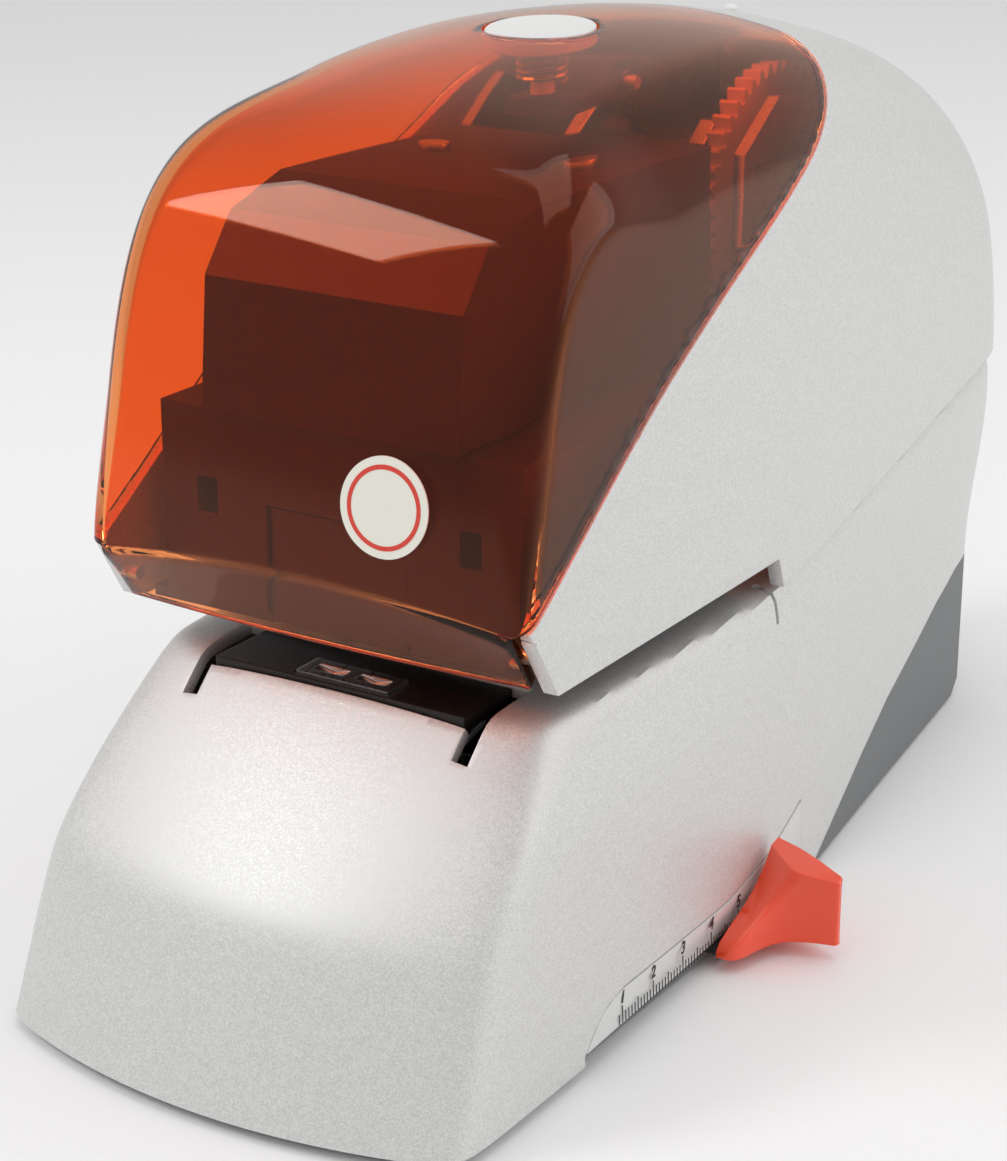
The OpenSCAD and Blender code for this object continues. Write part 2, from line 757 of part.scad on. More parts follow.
module driver_arm() {
  hub_r = pivot_r + 5;
  window_travel = norm(crank_at - pivot_at) * sin(arm_tilt_max);
  color([0.5, 0.5, 0.52]) difference() {
    union() {
      for (x0 = [-arm_x - arm_t, arm_x])
        along_x(x0, arm_t)
          polygon([
            [arm_front, arm_low], [60, arm_low], [84, arm_low - 2], [116, arm_low - 8], [pivot_at.x, pivot_at.y - hub_r],
            [pivot_at.x + 4, pivot_at.y], [pivot_at.x, pivot_at.y + hub_r], [124, arm_low + 2], [118, arm_low + 24],
            [108, arm_low + 33], [90, arm_low + 33], [80, arm_low + 24], [74, arm_low + 10], [arm_front, arm_low + 10]
          ]);
      for (x0 = [-arm_x - arm_t, arm_x]) rod_x(pivot_at, hub_r, x0, x0 + arm_t);
      rod_x(pivot_at, hub_r - 1, -arm_x - eps, arm_x + eps);
      box([-arm_x - eps, arm_front + 3, arm_low], [arm_x + eps, arm_front + 15, arm_low + 3]);
      box([-arm_x - eps, bar_back - 8, arm_low], [arm_x + eps, bar_back, arm_low + 3]);
    }
    rod_x(pivot_at, pivot_r + running_play, -frame_x, frame_x);
    // Wide windows that leave the crank pin free at every angle
    rod_x(crank_at, crank_throw + pin_r + window_travel + 0.4, -frame_x, frame_x);
  }
}

module driver_blade() {
  color([0.7, 0.7, 0.72]) {
    box([-staple_w / 2, blade_y, head_under + 12], [staple_w / 2, blade_y + blade_t, arm_low + 3]);
    box([-staple_w / 2, blade_y, arm_low + 3], [staple_w / 2, arm_front + 5, arm_low + 4]);
  }
}

module staple_former() {
  color([0.62, 0.62, 0.64]) {
    box([-arm_x + 1, arm_front + 5.2, arm_low - 0.8], [arm_x - 1, arm_front + 13, arm_low]);
  }
}

spring_y = bar_back - 4;
seat_z = 86;

module return_spring() {
  color([0.7, 0.7, 0.72]) translate([0, spring_y, seat_z + 0.05]) coil(3.4, 0.5, 5, arm_low - seat_z - 0.1);
}

module spring_seat() {
  color([0.6, 0.6, 0.62]) {
    box([-frame_x, spring_y - 2, seat_z - 2], [frame_x, spring_y + 8, seat_z]);
    rod_z(0, spring_y, 2.5, seat_z, seat_z + 4);
  }
}

trigger_at = [22, head_under + 6];
trigger_x = 16.8;

module trigger_lever() {
  color([0.85, 0.85, 0.82]) difference() {
    union() {
      rod_x(trigger_at, 2.6, trigger_x, trigger_x + 2.4);
      along_x(trigger_x, 2.4)
        polygon([
          [19.6, head_under + 6], [24.4, head_under + 6], [23, head_under - 1], [22.4, base_top + 2.2],
          [20.8, base_top + 2.2], [20, head_under - 1]
        ]);
    }
    rod_x(trigger_at, 1.2 + running_play, 0, big / 2);
  }
}

module trigger_switch() {
  color([0.1, 0.1, 0.12]) {
    box([trigger_x - 1, 32, head_under + 2], [trigger_x + 5, 44, head_under + 10]);
    rod_x(trigger_at, 1.2, trigger_x - 2, trigger_x + 4.4);
    box([trigger_x - 3, 20, floor_top], [trigger_x - 1.6, 34, head_under + 8.4]);
    box([trigger_x - 3, 32, floor_top], [trigger_x, 36, head_under + 8]);
  }
}

module head_form(d) {
  intersection() {
    along_x(-big / 2, big) polygon(inset(head_side, d));
    linear_extrude(big) polygon(inset(plan_loop(head_plan_right), d));
    along_y(-big / 2, big) polygon(inset(section_loop(head_section_right), d));
  }
}

// Side view of everything that the clear cover takes, moved by gap
module cover_side(gap) {
  polygon(concat(
    [for (p = cover_edge) p + [-0.55, 0.83] * gap],
    [[-60, head_top + 20], [-60, head_under + 10 + gap]]
  ));
}

hinge_low_z = head_under + 14.5;

module upper_housing() {
  color([0.8, 0.8, 0.8]) difference() {
    head_form(0);
    head_form(wall);
    along_x(-big / 2, big) cover_side(0);
    // Open front and underside between the side panels
    box([-hinge_x - 0.3, -30, 0], [hinge_x + 0.3, 0, big]);
    intersection() {
      translate([0, 0, -2 * wall]) head_form(wall);
      box([-big, 0, 0], [big, throat_depth - 5, big]);
    }
    intersection() {
      translate([0, 0, -2 * wall]) head_form(wall);
      box([-big, throat_depth + 6, 0], [big, big, big]);
    }
    rod_x([hinge_y, hinge_z], hinge_pin_r + running_play, -hinge_x - pin_reach - 0.1, hinge_x + pin_reach + 0.1);
    rod_z(0, 122, 1.6, head_top - 30, head_top + 5);
  }
}

module indicator_light() {
  color([0.9, 0.9, 0.88]) {
    rod_z(0, 122, 1.5, head_top - 12, head_top - 5.6);
    translate([0, 122, head_top - 5.6]) scale([1, 1, 0.6]) sphere(r = 1.5, $fn = 32);
  }
}

module front_cover() {
  hole = button_r + button_play;
  color([0.95, 0.3, 0.05, 0.5]) difference() {
    union() {
      difference() {
        head_form(0);
        head_form(cover_wall);
        along_x(-big / 2, big)
          difference() {
            translate([-100, -100]) square(big);
            cover_side(shell_gap);
          }
        // Step at the lower corners that lets the cover turn inside the side panels
        box_pair([hinge_x, -30, 0], [big / 2, 20, hinge_low_z]);
      }
      // Chin between the side panels
      intersection() {
        difference() {
          head_form(0);
          head_form(cover_wall);
        }
        along_x(-hinge_x, 2 * hinge_x)
          polygon([
            [-30, head_under + 12], [-30, 50], [-8.4, head_under], [-8.2 + cover_wall * 0.7, head_under + cover_wall * 0.9],
            [-8.2 + cover_wall * 0.7, head_under + 8], [-8, head_under + 12]
          ]);
      }
      // Ears that carry the latch's pin
      box_pair([5.4, latch_at.x - 3, latch_at.y - 2.6], [7.4, latch_at.x + 3, head_top - cover_wall - 0.1]);
      // Bridge under the button that carries its spring
      difference() {
        box([-13, button_y - 5, bridge_z], [13, button_y + 5, head_top - 3]);
        box([-11.2, button_y - 6, bridge_z + bridge_t], [11.2, button_y + 6, head_top]);
        rod_z(0, button_y + 0.8, 2.4, 0, big);
      }
      // Ears that carry the hinge pins
      for (side = [0, 1])
        mirror([side, 0, 0])
          difference() {
            along_x(hinge_x - 3, 3)
              polygon([[-12.5, hinge_z + 1], [-9, hinge_z - 3.2], [-5, hinge_z - 2.6], [-4.4, hinge_z + 3], [-13, hinge_z + 9]]);
            along_x(-big / 2, big) polygon([[-30, 90], [-30, 40], [-5.6, head_under], [-16, head_under + 10]]);
          }
    }
    rod_x([hinge_y, hinge_z], hinge_pin_r, -hinge_x - 1, hinge_x + 1);
    rod_x(latch_at, latch_pin_r, -10, 10);
    translate([0, button_y, button_z]) rotate([button_tilt, 0, 0]) translate([0, 0, -20]) cylinder(r = hole, h = 40, $fn = 64);
  }
}

module hinge_pins() {
  color([0.7, 0.7, 0.72]) for (side = [0, 1])
    mirror([side, 0, 0]) rod_x([hinge_y, hinge_z], hinge_pin_r, hinge_x - 3, hinge_x + pin_reach);
}

label_x = 17;
label_drop = 3;
front_lean = atan(2 / 21);

// Round label on the flat lower front of the cover, which leans by front_lean
module label_disc() {
  color([0.96, 0.96, 0.94]) translate([label_x, -14 - label_drop * tan(front_lean), head_top - 57 - label_drop])
    rotate([90 - front_lean, 0, 0]) translate([0, 0, 0.02]) cylinder(r = 8, h = 0.3, $fn = 64);
}

module release_button() {
  flange_z = 0.6 - button_cap_h;
  dish_r = 50;
  color([0.92, 0.92, 0.9]) translate([0, button_y, button_z]) rotate([button_tilt, 0, 0]) difference() {
    union() {
      translate([0, 0, flange_z]) cylinder(r = button_r, h = button_cap_h, $fn = 64);
      translate([0, 0, flange_z - 0.4]) cylinder(r = button_r + 1.4, h = 1.2, $fn = 64);
      translate([0, 0, stem_low]) cylinder(r = 2, h = 10, $fn = 32);
    }
    translate([0, 0, dish_r]) sphere(r = dish_r, $fn = 96);
  }
}

module button_spring() {
  color([0.7, 0.7, 0.72]) translate([0, button_y, button_z]) rotate([button_tilt, 0, 0])
    translate([0, 0, bridge_z + bridge_t - button_z + 0.4]) coil(4, 0.4, 4, 5.2);
}

latch_at = [74, head_top - 11];
latch_pin_r = 1.2;

// Lever under the cover: the button lowers its front end, which lifts the barb out of the catch
module latch_hook() {
  low = latch_at.y - 3;
  color([0.3, 0.1, 0.08]) difference() {
    union() {
      along_x(-5, 10)
        polygon([
          [button_y - 3, low - 1], [61, low - 1], [70, low], [98.8, low], [98.8, low - 3], [100.6, low - 3],
          [101, low + 2.6], [76, low + 5.4], [72, low + 5.4], [62, low + 1.6], [button_y - 3, low + 1.6]
        ]);
      rod_x(latch_at, 2.6, -5, 5);
    }
    rod_x(latch_at, latch_pin_r + running_play, -10, 10);
  }
}

module latch_pin() {
  color([0.7, 0.7, 0.72]) rod_x(latch_at, latch_pin_r, -7.4, 7.4);
}

module latch_catch() {
  low = latch_at.y - 9;
  color([0.3, 0.3, 0.3]) {
    box([-6, 95.8, low], [6, 98, latch_at.y - 3.6]);
    box([-6, 95.8, low], [6, 106, low + 2]);
    box([-6, 104, low], [6, 106, head_top - 5.6]);
  }
}

module tray_screws() {
  color([0.7, 0.7, 0.72]) for (x = [-1, 1] * anvil_screw_at.x) screw_z(x, anvil_screw_at.y, screw_low_z, 4.4, 1);
}

module board_screws() {
  top = board_z + 1.6 + screw_head_h;
  color([0.7, 0.7, 0.72]) for (side = [-1, 1]) for (p = board_post_at) screw_z(side * p.x, p.y, top, 6, -1);
}

module frame_screws() {
  color([0.7, 0.7, 0.72]) for (side = [0, 1])
    mirror([side, 0, 0]) for (p = spacer_at)
      rod_x(p, 3, frame_x + frame_t, frame_x + frame_t + 1);
}

module block_screws() {
  color([0.7, 0.7, 0.72]) for (x = [-14, 14]) rod_z(x, 46, 2.6, block_top, block_top + 1.2);
}

base_shell();
base_tray();
front_foot();
rear_feet();
ruler_strip();
anvil_block();
anvil_die();
anvil_post();
frame_left();
frame_right();
frame_spacers();
arm_pivot_pin();
motor();
motor_bracket();
motor_pinion();
idler_axle();
idler_gear();
crank_bearing();
crank_gear();
circuit_board();
transformer();
power_inlet();
switch_frame();
power_switch();
stop_carriage();
paper_stop();
depth_knob();
head_base();
head_block();
side_shields();
cassette();
cassette_lid();
staple_strip();
staple_pusher();
driver_arm();
driver_blade();
staple_former();
return_spring();
spring_seat();
trigger_lever();
trigger_switch();
upper_housing();
indicator_light();
front_cover();
hinge_pins();
label_disc();
release_button();
button_spring();
latch_hook();
latch_pin();
latch_catch();
tray_screws();
board_screws();
frame_screws();
block_screws();
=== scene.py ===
import json
import math
import bpy
import numpy as np
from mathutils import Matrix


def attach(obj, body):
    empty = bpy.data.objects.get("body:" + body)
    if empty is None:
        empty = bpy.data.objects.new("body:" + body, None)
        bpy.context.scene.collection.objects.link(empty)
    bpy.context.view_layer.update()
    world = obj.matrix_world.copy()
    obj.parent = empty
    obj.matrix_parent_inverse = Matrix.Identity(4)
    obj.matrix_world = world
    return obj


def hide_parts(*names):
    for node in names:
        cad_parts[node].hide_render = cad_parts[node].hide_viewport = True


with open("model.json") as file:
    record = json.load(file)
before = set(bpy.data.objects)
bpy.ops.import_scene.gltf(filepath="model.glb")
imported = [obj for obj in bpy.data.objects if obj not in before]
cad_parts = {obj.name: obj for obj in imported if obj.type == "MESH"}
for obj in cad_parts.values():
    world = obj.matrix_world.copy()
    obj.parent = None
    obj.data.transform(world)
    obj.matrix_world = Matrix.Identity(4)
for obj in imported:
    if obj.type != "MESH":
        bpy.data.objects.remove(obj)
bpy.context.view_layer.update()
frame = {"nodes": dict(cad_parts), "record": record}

MM = 0.001


# ---------------------------------------------------------------- materials

def new_material(name, color, roughness, metallic=0.0, **sockets):
    """A Principled material; extra sockets are set by name, with _ for the space."""
    mat = bpy.data.materials.new(name)
    mat.use_nodes = True
    bsdf = mat.node_tree.nodes["Principled BSDF"]
    bsdf.inputs["Base Color"].default_value = (*color, 1)
    bsdf.inputs["Roughness"].default_value = roughness
    bsdf.inputs["Metallic"].default_value = metallic
    for key, value in sockets.items():
        bsdf.inputs[key.replace("_", " ")].default_value = value
    return mat, bsdf


def add_grain(mat, bsdf, size_mm, color_spread, rough_spread=0.0, bump=0.0, stretch=(1, 1, 1), kind="noise"):
    """Fine texture in object space: varies the colour, the roughness and the surface normal."""
    nodes = mat.node_tree.nodes
    link = mat.node_tree.links.new
    coords = nodes.new("ShaderNodeTexCoord")
    mapping = nodes.new("ShaderNodeMapping")
    mapping.inputs["Scale"].default_value = stretch
    link(coords.outputs["Object"], mapping.inputs["Vector"])
    if kind == "cells":
        texture = nodes.new("ShaderNodeTexVoronoi")
        level = nodes.new("ShaderNodeSeparateColor")
        link(texture.outputs["Color"], level.inputs["Color"])
        value = level.outputs["Red"]
    else:
        texture = nodes.new("ShaderNodeTexNoise")
        texture.inputs["Detail"].default_value = 3
        value = texture.outputs["Fac"]
    texture.inputs["Scale"].default_value = 1 / (size_mm * MM)
    link(mapping.outputs["Vector"], texture.inputs["Vector"])
    color = np.array(bsdf.inputs["Base Color"].default_value[:3])
    ramp = nodes.new("ShaderNodeMix")
    ramp.data_type = "RGBA"
    ramp.inputs["A"].default_value = (*np.clip(color * (1 - color_spread), 0, 1), 1)
    ramp.inputs["B"].default_value = (*np.clip(color * (1 + color_spread), 0, 1), 1)
    link(value, ramp.inputs["Factor"])
    link(ramp.outputs["Result"], bsdf.inputs["Base Color"])
    if rough_spread:
        base = bsdf.inputs["Roughness"].default_value
        spread = nodes.new("ShaderNodeMapRange")
        spread.inputs["To Min"].default_value = base - rough_spread
        spread.inputs["To Max"].default_value = base + rough_spread
        link(value, spread.inputs["Value"])
        link(spread.outputs["Result"], bsdf.inputs["Roughness"])
    if bump:
        bumper = nodes.new("ShaderNodeBump")
        bumper.inputs["Strength"].default_value = bump
        bumper.inputs["Distance"].default_value = size_mm * MM * 0.3
        link(value, bumper.inputs["Height"])
        link(bumper.outputs["Normal"], bsdf.inputs["Normal"])
    return mat


def finish(name, color, roughness, metallic=0.0, size_mm=0.4, color_spread=0.1, rough_spread=0.05,
           bump=0.1, stretch=(1, 1, 1), kind="noise", **sockets):
    """A Principled material with its grain."""
    mat, bsdf = new_material(name, color, roughness, metallic, **sockets)
    return add_grain(mat, bsdf, size_mm, color_spread, rough_spread, bump, stretch, kind)


def clear_orange():
    """Tinted clear plastic. Shadow rays see it as a tinted filter, so light reaches the mechanism."""
    tint = (1.0, 0.31, 0.09)
    shadow_tint = (1.0, 0.32, 0.13, 1)
    mat, bsdf = new_material("clear_orange", tint, 0.02, IOR=1.36, Transmission_Weight=1.0,
                             Specular_Tint=(1.0, 0.7, 0.6, 1.0))
    nodes = mat.node_tree.nodes
    link = mat.node_tree.links.new
    coords = nodes.new("ShaderNodeTexCoord")
    haze = nodes.new("ShaderNodeTexNoise")
    haze.inputs["Scale"].default_value = 60
    spread = nodes.new("ShaderNodeMapRange")
    spread.inputs["To Min"].default_value = 0.01
    spread.inputs["To Max"].default_value = 0.05
    link(coords.outputs["Object"], haze.inputs["Vector"])
    link(haze.outputs["Fac"], spread.inputs["Value"])
    link(spread.outputs["Result"], bsdf.inputs["Roughness"])
    clear = nodes.new("ShaderNodeBsdfTransparent")
    clear.inputs["Color"].default_value = shadow_tint
    rays = nodes.new("ShaderNodeLightPath")
    mix = nodes.new("ShaderNodeMixShader")
    link(rays.outputs["Is Shadow Ray"], mix.inputs["Fac"])
    link(bsdf.outputs["BSDF"], mix.inputs[1])
    link(clear.outputs["BSDF"], mix.inputs[2])
    link(mix.outputs["Shader"], nodes["Material Output"].inputs["Surface"])
    return mat


LOOKS = {
    "silver_shell": finish("silver_shell", (0.68, 0.68, 0.67), 0.5, 0.4, 0.22, 0.12, 0.1, 0.06, kind="cells",
                           Coat_Weight=0.25, Coat_Roughness=0.25),
    "dark_chassis": finish("dark_chassis", (0.16, 0.165, 0.17), 0.5, 0.0, 0.5, 0.15, 0.06, 0.2),
    "rubber": finish("rubber", (0.03, 0.03, 0.03), 0.8, 0.0, 0.7, 0.3, 0.05, 0.3),
    "ruler": finish("ruler", (0.7, 0.7, 0.69), 0.35, 0.2, 0.4, 0.05, 0.06, 0.04),
    "steel": finish("steel", (0.6, 0.6, 0.6), 0.3, 1.0, 0.5, 0.12, 0.1, 0.08, stretch=(1, 0.15, 1)),
    "blackened_steel": finish("blackened_steel", (0.025, 0.02, 0.018), 0.42, 0.6, 0.45, 0.6, 0.2, 0.9),
    "brass": finish("brass", (0.75, 0.52, 0.22), 0.3, 1.0, 0.5, 0.1, 0.08, 0.08),
    "nylon": finish("nylon", (0.72, 0.69, 0.6), 0.5, 0.0, 0.8, 0.06, 0.06, 0.08),
    "board": finish("board", (0.03, 0.16, 0.08), 0.45, 0.0, 1.2, 0.25, 0.08, 0.1),
    "winding": finish("winding", (0.3, 0.13, 0.06), 0.4, 0.4, 0.4, 0.35, 0.1, 0.5, stretch=(1, 0.1, 1)),
    "black_plastic": finish("black_plastic", (0.02, 0.02, 0.022), 0.42, 0.0, 0.5, 0.3, 0.08, 0.15),
    "mechanism_plastic": finish("mechanism_plastic", (0.024, 0.009, 0.008), 0.5, 0.0, 0.8, 0.1, 0.05, 0.04),
    "orange_knob": finish("orange_knob", (0.95, 0.075, 0.022), 0.25, 0.0, 0.5, 0.05, 0.05, 0.03,
                          Coat_Weight=0.5, Coat_Roughness=0.08),
    "clear_orange": clear_orange(),
    "white_plastic": finish("white_plastic", (0.78, 0.78, 0.77), 0.35, 0.0, 0.6, 0.04, 0.05, 0.04),
    "label": finish("label", (0.85, 0.83, 0.74), 0.4, 0.0, 0.5, 0.03, 0.05, 0.03),
    "spring_steel": finish("spring_steel", (0.55, 0.55, 0.56), 0.25, 1.0, 0.3, 0.1, 0.06, 0.05),
}
INK = finish("ink", (0.02, 0.02, 0.02), 0.5, 0.0, 0.3, 0.3, 0.05, 0.05)
RING_INK = finish("ring_ink", (0.7, 0.05, 0.03), 0.45, 0.0, 0.4, 0.08, 0.05, 0.03)


# ---------------------------------------------------------------- mesh tools

def add_piece(name, verts, faces, body, slot, material=None, stands_for=(), sharp=32, modifiers=()):
    """Makes a smooth-shaded mesh from millimetres and gives it to a CAD body."""
    mesh = bpy.data.meshes.new(name)
    mesh.from_pydata([tuple(float(c) * MM for c in v) for v in verts], [],
                     [tuple(map(int, f)) for f in faces])
    mesh.validate()
    obj = bpy.data.objects.new(name, mesh)
    bpy.context.scene.collection.objects.link(obj)
    for kind, settings in modifiers:
        mod = obj.modifiers.new(kind.lower(), kind)
        for key, value in settings.items():
            setattr(mod, key, value)
    if modifiers:
        mesh = bpy.data.meshes.new_from_object(obj.evaluated_get(bpy.context.evaluated_depsgraph_get()))
        mesh.name = name
        obj.modifiers.clear()
        obj.data = mesh
    mesh.materials.append(material or LOOKS[slot])
    mesh.polygons.foreach_set("use_smooth", [True] * len(mesh.polygons))
    mesh.set_sharp_from_angle(angle=math.radians(sharp))
    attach(obj, body)
    if stands_for:
        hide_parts(*stands_for)


def shell_wall(thickness):
    """Modifiers that turn a skin into a wall with softened edges."""
    return (
        ("WELD", {"merge_threshold": 0.02 * MM}),
        ("SOLIDIFY", {"thickness": thickness * MM, "offset": -1, "use_even_offset": False, "use_rim": True}),
        ("BEVEL", {"width": 0.3 * MM, "segments": 2, "limit_method": "ANGLE",
                   "angle_limit": math.radians(50)}),
    )


def smooth_step(low, high, value):
    """From 0 at low to 1 at high, level at both ends."""
    t = np.clip((np.asarray(value, float) - low) / (high - low), 0, 1)
    return t * t * (3 - 2 * t)


def soft_plus(value, width):
    """Zero below 0, value above it, with a smooth turn about as wide as width."""
    return (value + np.sqrt(value * value + width * width)) / 2


def soft_max(a, b, width):
    """The larger of a and b, with a smooth turn where they cross."""
    return (a + b + np.sqrt((a - b) ** 2 + width * width)) / 2


def b_spline(points, count):
    """Clamped uniform cubic B-spline through the given control polygon."""
    p = np.array(points, float)
    p = np.vstack([p[:1], p[:1], p, p[-1:], p[-1:]])
    t = np.linspace(0, len(p) - 3 - 1e-9, count)
    i = t.astype(int)
    u = (t - i)[:, None]
    return ((1 - u) ** 3 * p[i] + (3 * u ** 3 - 6 * u ** 2 + 4) * p[i + 1]
            + (-3 * u ** 3 + 3 * u ** 2 + 3 * u + 1) * p[i + 2] + u ** 3 * p[i + 3]) / 6


def even_steps(curve, count):
    """The curve sampled again at equal distances."""
    length = np.concatenate([[0], np.cumsum(np.linalg.norm(np.diff(curve, axis=0), axis=1))])
    want = np.linspace(0, length[-1], count)
    return np.stack([np.interp(want, length, curve[:, k]) for k in range(curve.shape[1])], 1)


def along(points, keys, values):
    """Piecewise linear curve: points at the rising keys, looked up at values."""
    points = np.array(points, float)
    return np.stack([np.interp(values, keys, points[:, k]) for k in range(points.shape[1])], -1)


def grid_faces(rows, cols):
    """Quads between the points of a grid that is stored row by row."""
    return [
        (i * cols + j, i * cols + j + 1, (i + 1) * cols + j + 1, (i + 1) * cols + j)
        for i in range(rows - 1)
        for j in range(cols - 1)
    ]


def split(verts, faces, field, snap=0.25):
    """Cuts the faces where field(verts) changes sign. Points close to the cut move onto it first."""
    verts = [np.array(v, float) for v in verts]
    value = np.array(field(np.array(verts)), float)
    moved = {}
    for face in faces:
        for a, b in zip(face, face[1:] + face[:1]):
            if value[a] * value[b] < 0:
                near, far = (a, b) if abs(value[a]) < abs(value[b]) else (b, a)
                t = value[near] / (value[near] - value[far])
                if t < snap and (near not in moved or t < moved[near][0]):
                    moved[near] = (t, verts[near] + t * (verts[far] - verts[near]))
    for i, (_, place) in moved.items():
        verts[i] = place
        value[i] = 0
    made = {}
    out = []
    for face in faces:
        signs = [value[i] for i in face]
        if min(signs) >= 0 or max(signs) <= 0:
            out.append(face)
            continue
        parts = {1: [], -1: []}
        for a, b in zip(face, face[1:] + face[:1]):
            for side in (1, -1):
                if value[a] * side >= 0:
                    parts[side].append(a)
            if value[a] * value[b] < 0:
                key = (min(a, b), max(a, b))
                if key not in made:
                    t = value[key[0]] / (value[key[0]] - value[key[1]])
                    made[key] = len(verts)
                    verts.append(verts[key[0]] + t * (verts[key[1]] - verts[key[0]]))
                for side in (1, -1):
                    parts[side].append(made[key])
        value = np.append(value, [0] * (len(verts) - len(value)))
        out += [tuple(p) for p in parts.values() if len(p) > 2]
    return np.array(verts), out


def keep(verts, faces, test):
    """Faces whose middle passes the test, with the unused points dropped."""
    verts = np.array(verts)
    middles = np.array([verts[list(f)].mean(0) for f in faces])
    kept = [f for f, ok in zip(faces, test(middles)) if ok]
    used = sorted({i for f in kept for i in f})
    place = {old: new for new, old in enumerate(used)}
    return verts[used], [tuple(place[i] for i in f) for f in kept]


def mirror_x(verts, faces):
    """Adds the left half to a right half."""
    verts = np.array(verts)
    count = len(verts)
    both = np.vstack([verts, verts * [-1, 1, 1]])
    return both, list(faces) + [tuple(i + count for i in reversed(f)) for f in faces]


def line_field(p, q):
    """Signed distance from the line p-q in side view, positive to its left."""
    p, q = np.array(p, float), np.array(q, float)
    way = (q - p) / np.linalg.norm(q - p)
    return lambda v: way[0] * (v[:, 2] - p[1]) - way[1] * (v[:, 1] - p[0])


def in_polygon(y, z, polygon):
    """True for the points of a side view that lie inside the polygon."""
    inside = np.zeros(len(y), bool)
    for (y0, z0), (y1, z1) in zip(polygon, polygon[1:] + polygon[:1]):
        crosses = (z0 > z) != (z1 > z)
        with np.errstate(divide="ignore", invalid="ignore"):
            inside ^= crosses & (y < (y1 - y0) * (z - z0) / (z1 - z0) + y0)
    return inside


# ---------------------------------------------------------------- head shells

# Side-view points are (y, z) in millimetres
REAR_Y = 188.0
HEAD_UNDER = 66.0
THROAT_Y = 66.5
SEAM_FRONT = (68.6, 60.3)
SEAM_REAR = (REAR_Y, 78.9)
CHIN_TIP = (-11.8, 76.2)
CHIN_BACK = (-5.6, HEAD_UNDER)
# How much lower the cover's chin edge hangs at its ends than in the middle
CHIN_ARCH = 4.2
# Half-widths where the cover's chin ends and where the silver side panels begin
COVER_X = 38.3
PANEL_X = 38.8
# Half of the gap between the cover and the silver shell
SHELL_GAP = 0.3
# Subtracted from a cutting field where it must not reach the skin
NO_CUT = 20
BUTTON_AT = (56.0, 153.0)
BUTTON_HOLE = 9.7
BUTTON_TILT = math.radians(4.5)
# Control points of the cover's edge and of the head's outline along the symmetry plane
COVER_EDGE = [(-16, 76), (-7, 82), (10, 94.3), (27, 106), (50, 118.5), (70, 128.5), (84, 136.5),
              (92, 142.5), (97, 148), (98.5, 154), (98.5, 175)]
HEAD_OUTLINE = [
    (-15.7, 80.5), (-15.7, 84), (-15.2, 90), (-14.2, 98), (-12, 110), (-8.8, 121), (-4.2, 131), (2, 139.5),
    (10.4, 145.8), (22, 149.8), (37, 152.6), (54, 153.9), (70, 154.2), (88, 153.4), (106, 151), (124, 147.4),
    (142, 142), (158, 134.6), (171, 124.5), (181, 111), (186, 96), (188, 84), (188.3, 70)
]
# Points of the head grid across one row: on the flat, round the corner and down the side
HEAD_FLAT, HEAD_CORNER, HEAD_SIDE = 16, 16, 26
HEAD_COLS = HEAD_FLAT + HEAD_CORNER + HEAD_SIDE


def head_half_width(y, z):
    """Half of the head's width: narrower towards the top, and towards the rear."""
    taper = 0.108 - 0.036 * smooth_step(150, 100, z)
    return 42 - 0.022 * (z - HEAD_UNDER) - taper * soft_plus(y - 72, 12)


def head_surface(rows=190):
    """Right half of the head's outer skin, from the chin over the top to the rear seam."""
    profile = even_steps(b_spline(HEAD_OUTLINE, 900), rows)
    way = np.gradient(profile, axis=0)
    way /= np.linalg.norm(way, axis=1)[:, None]
    inward = np.stack([way[:, 1], -way[:, 0]], 1)
    s = np.linspace(0, 1, rows)
    y_at, z_at = profile[:, 0], profile[:, 1]
    front = y_at < 30
    radius = np.where(front, 3 + 4 * smooth_step(79, 104, z_at), 7) + 13 * smooth_step(-9, 30, y_at)
    radius = radius - 3 * smooth_step(130, 185, y_at)
    crown = 1.2 + 1.2 * smooth_step(-10, 50, y_at) - 1.2 * smooth_step(150, 185, y_at)
    arch = CHIN_ARCH * smooth_step(104, 80, z_at) * front
    feet = along([(-12, 71.6), (-6, 65.4), (64, 58), (150, 68), (168, 66)], [0, 0.12, 0.42, 0.85, 1], s)
    verts = []
    for k in range(rows):
        r, c = radius[k], crown[k]
        core = profile[k] + inward[k] * r
        width = float(head_half_width(core[0], core[1]))
        reach = width - r
        for _ in range(4):
            lean = math.atan(2 * c / reach)
            reach = width - r + r * math.sin(lean)
        for j in range(HEAD_FLAT):
            x = reach * j / HEAD_FLAT
            y, z = profile[k] + inward[k] * c * (x / reach) ** 2
            verts.append((x, y, z - arch[k] * (x / width) ** 2))
        for j in range(HEAD_CORNER):
            a = lean + (math.pi / 2 - lean) * j / HEAD_CORNER
            x = width - r + r * math.sin(a)
            y, z = profile[k] + inward[k] * (c + r * math.cos(lean) - r * math.cos(a))
            scale = 1 + (head_half_width(y, z) / width - 1) * j / HEAD_CORNER
            verts.append((x * scale, y, z - arch[k] * min(1, x / width) ** 2))
        start = profile[k] + inward[k] * (c + r * math.cos(lean)) - [0, arch[k]]
        for j in range(HEAD_SIDE):
            y, z = start + (feet[k] - start) * (j / (HEAD_SIDE - 1)) ** 1.15
            verts.append((float(head_half_width(y, z)), y, z))
    return np.array(verts), grid_faces(rows, HEAD_COLS)


